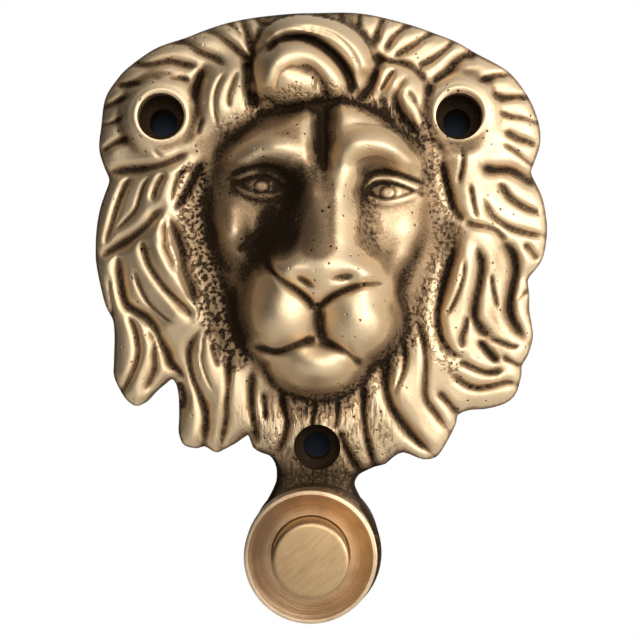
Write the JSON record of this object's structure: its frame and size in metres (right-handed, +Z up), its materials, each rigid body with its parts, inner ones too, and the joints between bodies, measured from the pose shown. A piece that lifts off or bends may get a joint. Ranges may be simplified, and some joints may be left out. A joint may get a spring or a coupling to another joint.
{
  "type": "door bell push",
  "caption": "Cast brass lion mask bell push: a relief mask and neck with screw holes, and a round boss holding a turned bezel and a sprung push button.",
  "frame": {"origin": "on the wall plane, behind the middle of the mask", "axes": "+Z up, -Y out of the wall towards the viewer, +X to the viewer's right"},
  "size_m": [0.09, 0.0296, 0.1196],
  "materials": {
    "cast_brass": "aged cast brass, dark in the recesses",
    "turned_brass": "turned and brushed",
    "button_brass": "fine brushed",
    "nut_brass": "turned",
    "contact_brass": "bright",
    "clip_steel": "spring steel",
    "spring_wire": "drawn wire",
    "insulator": "moulded phenolic"
  },
  "bodies": {
    "mask": {"lion_plate": "cast_brass", "bezel_ring": "turned_brass", "lock_nut": "nut_brass", "lock_washer": "clip_steel", "contact_base": "insulator", "base_circlip": "clip_steel", "contact_stud_left": "contact_brass", "contact_stud_right": "contact_brass", "fixing_nut_left": "contact_brass", "fixing_nut_right": "contact_brass", "wire_washer_left": "contact_brass", "wire_washer_right": "contact_brass", "terminal_nut_left": "contact_brass", "terminal_nut_right": "contact_brass", "return_spring": "spring_wire"},
    "button": {"push_button": "button_brass", "plunger": "insulator", "bridge_contact": "contact_brass", "bridge_clip": "clip_steel"}
  },
  "joints": [
    {"name": "button_press", "type": "slide", "parent": "mask", "child": "button", "axis": [0, 1, 0], "range_m": [0, 0.0022], "stiffness_N_per_m": 400, "springref_m": -0.003, "deforming": ["return_spring"]}
  ]
}
